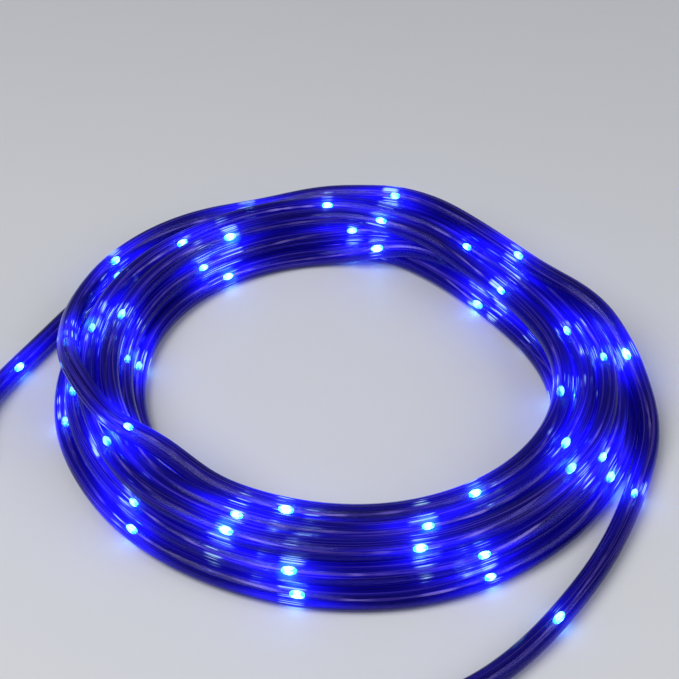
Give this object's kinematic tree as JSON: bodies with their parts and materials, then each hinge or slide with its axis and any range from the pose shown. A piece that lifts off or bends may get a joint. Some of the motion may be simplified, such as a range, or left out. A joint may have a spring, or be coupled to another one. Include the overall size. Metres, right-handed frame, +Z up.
{
  "type": "led rope light",
  "caption": "Loose round coil of clear tube with a string of LED drops inside, lying flat, with tails that end in a sealed cap and a feed plug with contact pins.",
  "frame": {"origin": "middle of the whole part's footprint, on the floor that the coil lies on", "axes": "+Z up through the flat coil, which is its shortest side; -Y towards the viewer of the picture, along the part's longest side; +X to the viewer's right"},
  "size_m": [0.2006, 0.218, 0.0217],
  "materials": {
    "clear_tube": "clear extruded PVC, glossy, lit deep blue from inside",
    "light_string": "clear moulded drops over lit LEDs on a thin pair of wires",
    "cap_plastic": "milky moulded PVC",
    "plug_plastic": "satin moulded PVC",
    "pin_metal": "bright turned contact pins"
  },
  "bodies": {
    "root": {"coil": "clear_tube", "cap_tail_tube": "clear_tube", "feed_tail_tube": "clear_tube", "cap_tail_lights": "light_string", "feed_tail_lights": "light_string", "end_cap": "cap_plastic", "feed_plug": "plug_plastic", "plug_pin_left": "pin_metal", "plug_pin_right": "pin_metal"}
  },
  "joints": []
}
